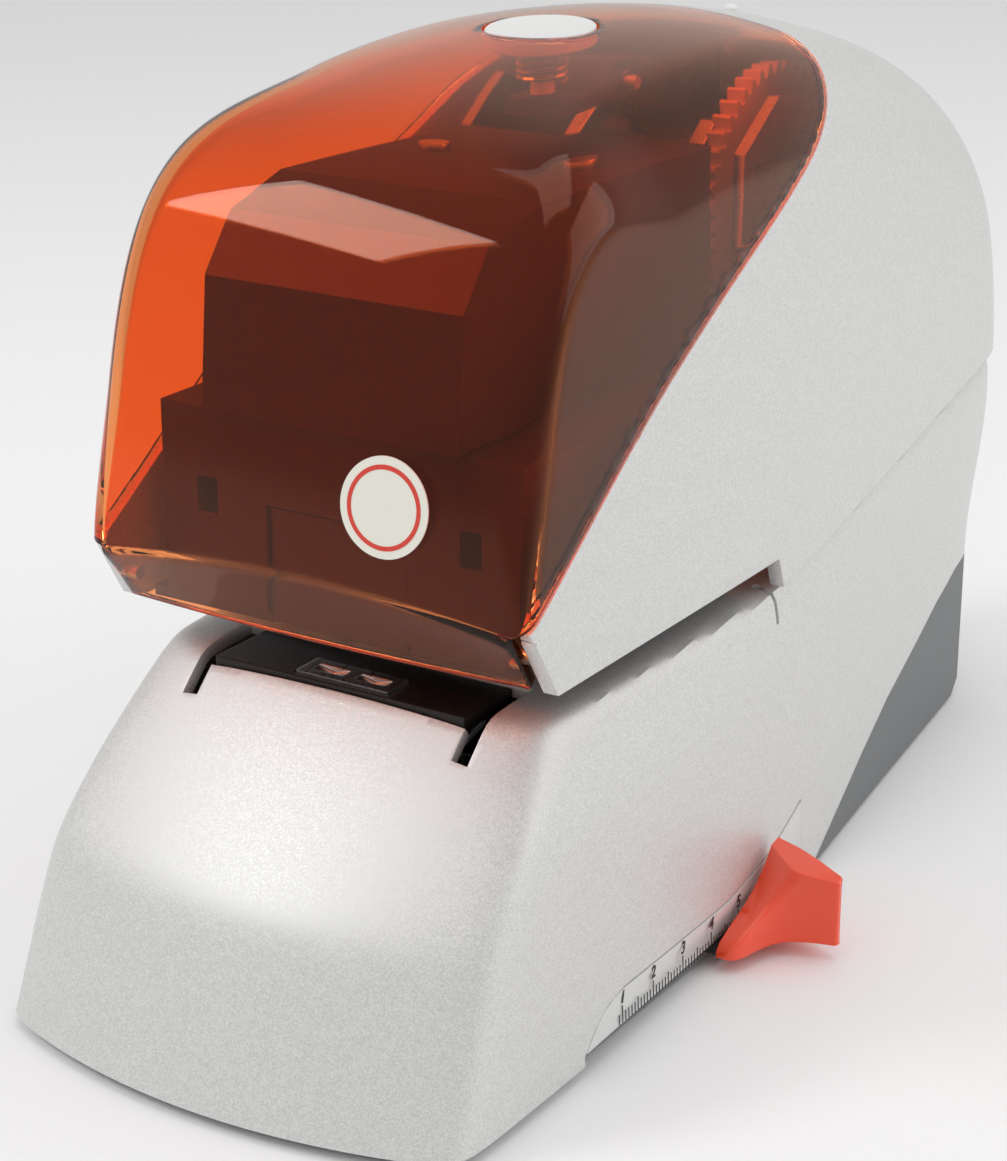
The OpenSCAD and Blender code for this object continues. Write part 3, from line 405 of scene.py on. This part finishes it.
def chin_strip(count=12):
    """Underside of the cover, rolled back from the chin edge; its first row is the skin's first row."""
    row = HEAD_VERTS[:HEAD_COLS]
    edge = np.vstack([row[row[:, 0] <= COVER_X], along(row, row[:, 0], [COVER_X])])
    roll = b_spline([(0, 0), (0.1, -1.2), (0.9, -2.6), (3.6, -7), (6.9, -13.8)], count)
    out = []
    for dy, dz in roll:
        fade = 1 - 0.9 * dz / roll[-1][1]
        for x, y, z in edge:
            level = z + (1 - fade) * CHIN_ARCH * (x / COVER_X) ** 2
            out.append((x, y + dy, level + dz))
    return np.array(out), [tuple(reversed(f)) for f in grid_faces(count, len(edge))]


def cover_line(v):
    """Signed distance from the clear cover's edge in side view, positive on the cover's side."""
    edge = even_steps(b_spline(COVER_EDGE, 300), 120)
    y, z = v[:, 1], v[:, 2]
    best = np.full(len(v), 1e9)
    sign = np.ones(len(v))
    for p, q in zip(edge, edge[1:]):
        d = q - p
        t = np.clip(((y - p[0]) * d[0] + (z - p[1]) * d[1]) / (d @ d), 0, 1)
        dy, dz = y - p[0] - t * d[0], z - p[1] - t * d[1]
        dist = np.hypot(dy, dz)
        side = np.sign(d[0] * dz - d[1] * dy)
        closer = dist < best
        best = np.where(closer, dist, best)
        sign = np.where(closer, side, sign)
    return best * np.where(sign == 0, 1, sign)


HEAD_VERTS, HEAD_FACES = head_surface()


def build_cover():
    """The clear cover: the front and top of the head's skin, with the button's hole and the chin strip."""
    def above_edge(v):
        return np.where((v[:, 1] < 5) & (v[:, 0] < COVER_X), 9, cover_line(v) - SHELL_GAP)

    def chin_end(v):
        return v[:, 0] - COVER_X - NO_CUT * (v[:, 2] > 90)

    def hole(v):
        return np.where(v[:, 2] > 120, np.hypot(v[:, 0], v[:, 1] - BUTTON_AT[0]) - BUTTON_HOLE, 50)

    verts, faces = HEAD_VERTS, HEAD_FACES
    for field in (chin_end, above_edge, hole):
        verts, faces = split(verts, faces, field, 0.2)
    verts, faces = keep(verts, faces, lambda m: (above_edge(m) > 0) & (hole(m) > 0))
    chin, chin_faces = chin_strip()
    faces = faces + [tuple(i + len(verts) for i in f) for f in chin_faces]
    verts, faces = mirror_x(np.vstack([verts, chin]), faces)
    add_piece("clear_cover", verts, faces, "cover", "clear_orange", stands_for=("front_cover",),
              modifiers=shell_wall(2))


def build_housing():
    """The silver rest of the head's skin: the rear and the two side panels."""
    seam = line_field(SEAM_FRONT, SEAM_REAR)
    step = line_field((THROAT_Y, HEAD_UNDER), SEAM_FRONT)
    chin = line_field(CHIN_TIP, CHIN_BACK)

    def below_cover(v):
        return cover_line(v) + SHELL_GAP

    def floor(v):
        return v[:, 2] - HEAD_UNDER

    def panel_front(v):
        return v[:, 0] - PANEL_X - NO_CUT * (v[:, 1] > 20)

    verts, faces = HEAD_VERTS, HEAD_FACES
    for field in (below_cover, seam, step, chin, floor, panel_front):
        verts, faces = split(verts, faces, field, 0.2)

    def wanted(m):
        above_seam = (seam(m) > 0) & (step(m) > 0)
        above_floor = (floor(m) > 0) & (chin(m) > 0) & (step(m) < 0)
        behind_chin = (m[:, 1] > 0) | (m[:, 0] > PANEL_X)
        return (below_cover(m) < 0) & (above_floor | above_seam) & behind_chin

    verts, faces = keep(verts, faces, wanted)
    verts, faces = mirror_x(verts, faces)
    add_piece("upper_shell", verts, faces, "base", "silver_shell", stands_for=("upper_housing",),
              modifiers=shell_wall(2.6))


# ---------------------------------------------------------------- base shell

BASE_TOP = 58.4
SIDE_X = 45.0
RIM = 2.0
# Opening over the anvil, with a narrow slot on each side, and the slit at the end of the throat
POCKET_X = 24.7
SLOT_X = 27.7
POCKET_FRONT = -4.8
SLOT_FRONT = -8.8
POCKET_REAR = 10.0
SLIT_Y = (67.6, 68.6)
SLIT_Z = 53.5
# Opening for the ruler, with the run under it for the stop's carriage
RULER_RUN = (-1.5, 78)
RULER_LOW = 3.8
RULER_PANEL = [(RULER_RUN[0], RULER_LOW), (RULER_RUN[1], RULER_LOW), (RULER_RUN[1], 17), (64, 13), (47, 10.6),
               (11, 10.6), (6, 9.5), (1.6, 6.8)]


def base_field(v):
    """Negative inside the base."""
    x, y, z = np.abs(v[..., 0]), v[..., 1], v[..., 2]
    rim_y = -45.8 + 6.6 * (x / 40) ** 2
    crease_z = 29.5 + 1.5 * (x / 43) ** 2
    crease_y = -33.8 + 6.2 * (x / 42) ** 2
    top_y = -4.7 + 1.2 * (x / 28) ** 2
    low = 0.9 * (rim_y + (crease_y - rim_y) * (z - RIM) / (crease_z - RIM) - y)
    ramp = 0.72 * (crease_y + (top_y - crease_y) * (z - crease_z) / (BASE_TOP - crease_z) - y)
    front = soft_max(low, ramp, 1.6)
    taper = 0.11 - 0.036 * smooth_step(30, 70, z)
    side = x - (SIDE_X + 0.4 - 0.04 * (z - RIM) - taper * soft_plus(y - 58, 14))
    shoulder = 0.94 * x - 0.05 * y + 0.335 * z - 55.6
    flank = soft_max(side, shoulder, 2.4)
    top = z - (BASE_TOP + 0.016 * (y + 6.3) + 0.141 * soft_plus(y - SEAM_FRONT[0], 0.8))
    body = soft_max(soft_max(front, flank, 3.6), top, 1.4)
    return soft_max(body, y - REAR_Y, 9)


def base_surface(flat=34, corner=22, side=34):
    """Right half of the base's skin: rays from an inner spine meet the field's zero level."""
    # The spine's points in side view, the rays' turn in degrees and where each row ends on the foot line
    keys = [0, 0.16, 0.34, 0.42, 0.78, 0.9, 1]
    spine = [(-31, RIM), (-20, 22), (2, 42), (14, 44), (150, 54), (168, 48), (172, 32)]
    turn = [0, 22, 45, 88, 96, 150, 180]
    foot_y = [-31, -14, 6, 20, 112, 146, 172]
    t = np.concatenate([np.linspace(0, 0.42, 84)[:-1], np.linspace(0.42, 0.8, 74)[:-1],
                        np.linspace(0.8, 1, 40)])
    core = along(spine, keys, t)
    angle = np.radians(np.interp(t, keys, turn))
    ends = foot_line(np.interp(t, keys, foot_y))
    core[-1] = ends[-1]
    inner_x = np.interp(t, keys, [30, 30, 24, 26, 18, 14, 12])
    origins, ways = [], []
    for k in range(len(t)):
        out = np.array([0, -math.cos(angle[k]), math.sin(angle[k])])
        for j in range(flat):
            origins.append((inner_x[k] * j / flat, *core[k]))
            ways.append(out)
        for j in range(corner):
            a = math.pi / 2 * j / corner
            origins.append((inner_x[k], *core[k]))
            ways.append(out * math.cos(a) + np.array([math.sin(a), 0, 0]))
        for j in range(side):
            u = j / (side - 1)
            origins.append((inner_x[k], *(core[k] + (ends[k] - core[k]) * u)))
            ways.append(np.array([1.0, 0, 0]))
    origins, ways = np.array(origins), np.array(ways)
    near, far = np.zeros(len(origins)), np.full(len(origins), 90.0)
    for _ in range(34):
        middle = (near + far) / 2
        inside = base_field(origins + ways * middle[:, None]) < 0
        near, far = np.where(inside, middle, near), np.where(inside, far, middle)
    return origins + ways * near[:, None], grid_faces(len(t), flat + corner + side)


def foot_line(y):
    """The base shell's lower edge: the rim, then the line above the dark rear tray."""
    z = np.interp(y, [-50, 85, 110, 125, 142, 155, 169, 185], [2, 2, 13, 19, 24, 28, 31, 32])
    return np.stack([np.asarray(y, float), z], -1)


def anvil_opening(x, y, z):
    """True over the anvil and its side slots, in the top wall only."""
    front = np.where(x < POCKET_X, POCKET_FRONT, SLOT_FRONT)
    return (x < SLOT_X) & (y > front) & (y < POCKET_REAR) & (z > 45)


def build_base():
    """The silver base. Only its right half has the ruler's opening and the slit."""
    opening_cuts = [
        lambda v: v[:, 0] - POCKET_X,
        lambda v: v[:, 0] - SLOT_X,
        lambda v: v[:, 1] - POCKET_REAR,
        lambda v: v[:, 1] - POCKET_FRONT,
        lambda v: v[:, 1] - SLOT_FRONT,
    ]
    slit_corner = (SLIT_Y[1], SLIT_Z)
    slit_cuts = [
        line_field((SLIT_Y[0], SLIT_Z), slit_corner),
        line_field(slit_corner, (SLIT_Y[1], 70)),
        lambda v: v[:, 1] - SLIT_Y[0],
    ]
    ruler_cuts = [line_field(p, q) for p, q in zip(RULER_PANEL, RULER_PANEL[1:] + RULER_PANEL[:1])]

    def near_ruler(v):
        return (v[:, 0] > 40) & (v[:, 2] < 22) & (v[:, 1] < 84)

    def near_slit(v):
        return (v[:, 0] > 36) & (v[:, 2] > 45) & (abs(v[:, 1] - 68) < 9)

    def only(region, field):
        return lambda v: np.where(region(v), field(v), 1)

    def wanted(m):
        x, y, z = m[:, 0], m[:, 1], m[:, 2]
        run = (y > RULER_RUN[0]) & (y < RULER_RUN[1]) & (z < RULER_LOW)
        ruler = (x > 40) & (in_polygon(y, z, RULER_PANEL) | run)
        slit = (x > 36) & (z > SLIT_Z) & (y > SLIT_Y[0]) & (y < SLIT_Y[1])
        return ~(anvil_opening(x, y, z) | ruler | slit)

    plain = base_surface()
    side_cuts = [only(near_ruler, f) for f in ruler_cuts] + [only(near_slit, f) for f in slit_cuts]
    right, right_faces = plain
    for field in opening_cuts + side_cuts:
        right, right_faces = split(right, right_faces, field, 0.12)
    right, right_faces = keep(right, right_faces, wanted)
    left, left_faces = plain
    for field in opening_cuts:
        left, left_faces = split(left, left_faces, field, 0.12)
    left, left_faces = keep(left, left_faces, lambda m: ~anvil_opening(*m.T))
    count = len(right)
    verts = np.vstack([right, left * [-1, 1, 1]])
    faces = right_faces + [tuple(i + count for i in reversed(f)) for f in left_faces]
    add_piece("lower_shell", verts, faces, "base", "silver_shell", stands_for=("base_shell",),
              modifiers=shell_wall(2.2))


# ---------------------------------------------------------------- ruler

def ruler_x(y, z):
    """How far out the ruler's face lies."""
    return SIDE_X + 0.25 - 0.04 * (z - RIM) - 0.11 * float(soft_plus(np.array(y - 58.0), 14))


def build_ruler_face():
    """The ruler's plate in the base's right side."""
    thickness = 1.6
    outline = [(-1.2, 4.1), (77.6, 4.1), (77.6, 16.5), (64, 12.6), (47, 10.3), (11, 10.3), (7.5, 9.8),
               (4.4, 8.6), (1.9, 6.9), (0, 5.2)]
    count = len(outline)
    front = [(ruler_x(y, z), y, z) for y, z in outline]
    back = [(x - thickness, y, z) for x, y, z in front]
    faces = [tuple(range(count)), tuple(reversed(range(count, 2 * count)))]
    faces += [(i, i + count, (i + 1) % count + count, (i + 1) % count) for i in range(count)]
    add_piece("ruler_face", front + back, faces, "base", "ruler", stands_for=("ruler_strip",),
              modifiers=(("BEVEL", {"width": 0.1 * MM, "segments": 2, "limit_method": "ANGLE"}),))


def build_ruler_marks(first=9, last=61):
    """One tick for each millimetre, longer at the fives and the tens."""
    low, half = 4.5, 0.075
    verts, faces = [], []
    for mm in range(first, last + 1):
        tall = 3.1 if mm % 10 == 0 else 2.4 if mm % 5 == 0 else 1.8
        corner = [(mm - half, low), (mm + half, low), (mm + half, low + tall), (mm - half, low + tall)]
        start = len(verts)
        for lift in (0.03, -0.1):
            verts += [(ruler_x(y, z) + lift, y, z) for y, z in corner]
        faces += [(start, start + 1, start + 2, start + 3)]
        faces += [(start + i, start + i + 4, start + (i + 1) % 4 + 4, start + (i + 1) % 4) for i in range(4)]
    add_piece("ruler_marks", verts, faces, "base", "ruler", material=INK)


def build_ruler_digit(number):
    """A centimetre number, laid on the ruler's face above its tick."""
    text = bpy.data.curves.new(f"digit_{number}", "FONT")
    text.body = str(number)
    text.size = 2.9
    text.shear = 0.25
    text.extrude = 0.04
    text.offset = 0.05
    holder = bpy.data.objects.new("digit", text)
    flat = bpy.data.meshes.new_from_object(holder)
    verts = []
    for v in flat.vertices:
        y, z = number * 10 - 0.8 + v.co.x, 8.1 + v.co.y
        verts.append((ruler_x(y, z) + 0.02 + v.co.z, y, z))
    faces = [tuple(p.vertices) for p in flat.polygons]
    bpy.data.objects.remove(holder)
    add_piece(f"ruler_digit_{number}", verts, faces, "base", "ruler", material=INK)


# ---------------------------------------------------------------- depth knob

def build_knob():
    """Lofted thumb grip: a foot along the ruler, a sloping ridge and a fin that sweeps outwards and back."""
    foot_y, low, root_x, reach = 41.0, 2.4, SIDE_X + 0.3, 15.9
    # Front of the lower lobe by reach, and of the sloping ridge by height
    lobe = [0, 2, 3.4, 4.2, 4.7, 5.4, 6.8, 9, 12, reach]
    lobe_front = [-0.4, -0.6, 0.2, 1.8, 4.6, 7.8, 10.2, 11.7, 12.7, 13.5]
    ridge_z = [0, 1.8, 3.5, 5.8, 7.8, 10, 12.4, 14]
    ridge_y = [-2.4, -1.2, 3.2, 9.6, 13.6, 16.4, 18.6, 19.8]
    sections = []
    stations = [0, 0.4, 1.2, 2.2, 3.2, 4, 4.6, 5.2, 6, 7, 8.4, 10, 12, 14, 15.2, 15.7, reach]
    for x in stations:
        back = np.interp(x, [0, 5, 10, reach], [22, 20.4, 18.2, 15.0])
        bottom = low + np.interp(x, [0, 4, 16], [0, 0.1, 0.7])
        top = low + np.interp(x, [0, 6, 16], [13.4, 13.3, 12.6])
        pinch = 0.35 if x == reach else 0.0
        loop = []
        for u in np.concatenate([[0, 0.03], np.linspace(0.1, 0.9, 10), [0.97, 1]]):
            z = bottom + (top - bottom) * u
            ridge = np.interp(z - low, ridge_z, ridge_y) - 0.9 * x
            y = float(soft_max(np.interp(x, lobe, lobe_front), ridge, 1.6))
            loop.append((min(y, back - 1.2) + pinch, z + pinch * (1 - 2 * u)))
        y_top, z_top = loop[-1]
        y_low = loop[0][0]
        for u in (0.06, 0.35, 0.65, 0.94):
            loop.append((y_top + (back - y_top) * u, z_top + 0.5 * u))
        for u in (0, 0.04, 0.3, 0.6, 0.96, 1):
            loop.append((back - pinch, z_top + 0.5 + (bottom - z_top - 0.5) * u))
        for u in (0.06, 0.35, 0.65, 0.94):
            loop.append((back + (y_low - back) * u, bottom))
        sections.append([(root_x + x, foot_y + y, z) for y, z in loop])
    count = len(sections[0])
    verts = [p for s in sections for p in s]
    faces = []
    for i in range(len(sections) - 1):
        for j in range(count):
            a, b = i * count + j, i * count + (j + 1) % count
            faces.append((b, b + count, a + count, a))
    faces.append(tuple(range(count)))
    faces.append(tuple(reversed(range(len(verts) - count, len(verts)))))
    add_piece("thumb_knob", verts, faces, "depth_stop", "orange_knob", stands_for=("depth_knob",), sharp=75,
              modifiers=(("SUBSURF", {"levels": 1, "render_levels": 1}),))


# ---------------------------------------------------------------- label, button

def disc_on_cover(name, rings, lift, material, stands_for=()):
    """Round patch that lies on the cover's front; rings are its radii from the middle out."""
    center_x, center_z = 17, 93.6
    count = 64
    front = HEAD_VERTS[(HEAD_VERTS[:, 2] > 78) & (HEAD_VERTS[:, 2] < 110) & (HEAD_VERTS[:, 1] < 0)]

    def surface_y(x, z):
        weight = 1 / ((front[:, 0] - x) ** 2 + (front[:, 2] - z) ** 2 + 0.05) ** 2
        pick = np.argsort(-weight)[:9]
        around = np.column_stack([np.ones(9), front[pick, 0] - x, front[pick, 2] - z])
        root = np.sqrt(weight[pick])[:, None]
        return float(np.linalg.lstsq(around * root, front[pick, 1] * root[:, 0], rcond=None)[0][0])

    verts = []
    for level in (lift, lift - 0.25):
        for r in rings:
            for i in range(count):
                a = 2 * math.pi * i / count
                x, z = center_x + r * math.cos(a), center_z + r * math.sin(a)
                verts.append((x, surface_y(x, z) - level, z))
    faces = []
    layers = len(rings)

    def ring(level, k, i):
        return (level * layers + k) * count + i % count

    for k in range(layers - 1):
        for i in range(count):
            faces.append((ring(0, k, i), ring(0, k, i + 1), ring(0, k + 1, i + 1), ring(0, k + 1, i))[::-1])
            faces.append((ring(1, k, i), ring(1, k, i + 1), ring(1, k + 1, i + 1), ring(1, k + 1, i)))
    for k in (0, layers - 1):
        for i in range(count):
            side = (ring(0, k, i), ring(1, k, i), ring(1, k, i + 1), ring(0, k, i + 1))
            faces.append(side if k else side[::-1])
    add_piece(name, verts, faces, "cover", "label", material=material, stands_for=stands_for, sharp=50)


def build_label():
    """A plain disc with a red ring."""
    disc_on_cover("label_face", [0.05, 2.6, 5.2, 7.7], 0.28, LOOKS["label"], stands_for=("label_disc",))
    disc_on_cover("label_ring", [5.75, 6.45], 0.34, RING_INK)


def lathe(profile, count=72):
    """Points and faces of a turned shape; profile is (radius, height), from the top's middle down."""
    verts = [(r * math.cos(2 * math.pi * i / count), r * math.sin(2 * math.pi * i / count), h)
             for r, h in profile for i in range(count)]
    faces = []
    for k in range(len(profile) - 1):
        for i in range(count):
            a, b = k * count + i, k * count + (i + 1) % count
            faces.append((a, a + count, b + count, b))
    faces.append(tuple(reversed(range(len(verts) - count, len(verts)))))
    return np.array(verts), faces


def build_button():
    """The round release button with its domed cap and its stem, tilted forwards."""
    rise, stem_low = 0.6, -11
    cap = [(0.05, -1.0), (2, -0.96), (4, -0.84), (6, -0.6), (7.6, -0.3), (8.6, -0.05), (9.0, -0.02),
           (9.2, -0.2), (9.25, -0.6), (9.25, -3.6), (9.0, -3.9), (2.2, -4.0), (2.0, -4.4)]
    verts, faces = lathe([(r, rise + h) for r, h in cap] + [(2.0, stem_low)])
    y = verts[:, 1] * math.cos(BUTTON_TILT) - verts[:, 2] * math.sin(BUTTON_TILT) + BUTTON_AT[0]
    z = verts[:, 1] * math.sin(BUTTON_TILT) + verts[:, 2] * math.cos(BUTTON_TILT) + BUTTON_AT[1]
    add_piece("push_button", np.stack([verts[:, 0], y, z], 1), faces, "button", "white_plastic",
              stands_for=("release_button",), sharp=40)


# ---------------------------------------------------------------- CAD pieces that are shown

REPLACED = {"front_cover", "upper_housing", "base_shell", "ruler_strip", "depth_knob", "label_disc",
            "release_button"}
SPRINGS = {"button_spring", "return_spring"}


def dress_cad():
    """Gives every carried-over CAD piece its finish and, except on the springs, softened edges."""
    slots = {part["node"]: part["material_slot"] for part in frame["record"]["subparts"]}
    for name, obj in frame["nodes"].items():
        if name in REPLACED:
            continue
        obj.data.materials.clear()
        obj.data.materials.append(LOOKS[slots[name]])
        weld = obj.modifiers.new("weld", "WELD")
        weld.merge_threshold = 0.005 * MM
        if name in SPRINGS:
            continue
        bevel = obj.modifiers.new("bevel", "BEVEL")
        bevel.width = 0.25 * MM
        bevel.segments = 2
        bevel.limit_method = "ANGLE"
        bevel.angle_limit = math.radians(35)


# ---------------------------------------------------------------- studio

def add_area(name, at, target, size, energy):
    """A rectangular softbox that looks at the target."""
    data = bpy.data.lights.new(name, "AREA")
    data.shape = "RECTANGLE"
    data.size, data.size_y = size
    data.energy = energy
    light = bpy.data.objects.new(name, data)
    bpy.context.scene.collection.objects.link(light)
    light.location = at
    way = np.array(target, float) - np.array(at, float)
    light.rotation_euler = (math.atan2(math.hypot(way[0], way[1]), -way[2]), 0, math.atan2(-way[0], way[1]))


def build_studio():
    """Pale floor, even surroundings and three softboxes."""
    scene = bpy.context.scene
    half = 3.0
    mesh = bpy.data.meshes.new("floor")
    corners = [(-half, -half, 0), (half, -half, 0), (half, half, 0), (-half, half, 0)]
    mesh.from_pydata(corners, [], [(0, 1, 2, 3)])
    floor = bpy.data.objects.new("floor", mesh)
    scene.collection.objects.link(floor)
    mesh.materials.append(finish("floor_paper", (0.93, 0.93, 0.93), 0.7, 0.0, 3.0, 0.01, 0.02, 0.02))
    world = bpy.data.worlds.new("studio")
    scene.world = world
    world.use_nodes = True
    world.node_tree.nodes["Background"].inputs["Color"].default_value = (1, 1, 1, 1)
    world.node_tree.nodes["Background"].inputs["Strength"].default_value = 0.62
    middle = (0.0, 0.03, 0.09)
    add_area("key_softbox", (-0.52, -0.45, 0.70), (0, 0, 0.13), (0.32, 0.24), 2.0)
    add_area("right_softbox", (0.9, 0.55, 0.6), middle, (0.9, 0.9), 3.2)
    add_area("top_softbox", (0.05, 0.1, 1.2), middle, (0.8, 0.8), 2.6)


def build_camera():
    """Above the front right corner, at the photograph's azimuth, elevation and field of view."""
    azimuth, elevation = math.radians(32.6), math.radians(20.1)
    data = bpy.data.cameras.new("camera")
    camera = bpy.data.objects.new("camera", data)
    bpy.context.scene.collection.objects.link(camera)
    data.sensor_width = 36
    data.lens = 85.27
    camera.location = (0.2393, -0.3294, 0.2231)
    camera.rotation_euler = (math.pi / 2 - elevation, 0, azimuth)
    data.clip_start = 0.01
    bpy.context.scene.camera = camera


build_cover()
build_housing()
build_base()
build_ruler_face()
build_ruler_marks()
for number in range(1, 7):
    build_ruler_digit(number)
build_knob()
build_label()
build_button()
dress_cad()
build_studio()
build_camera()
bpy.context.scene.view_settings.view_transform = "Standard"
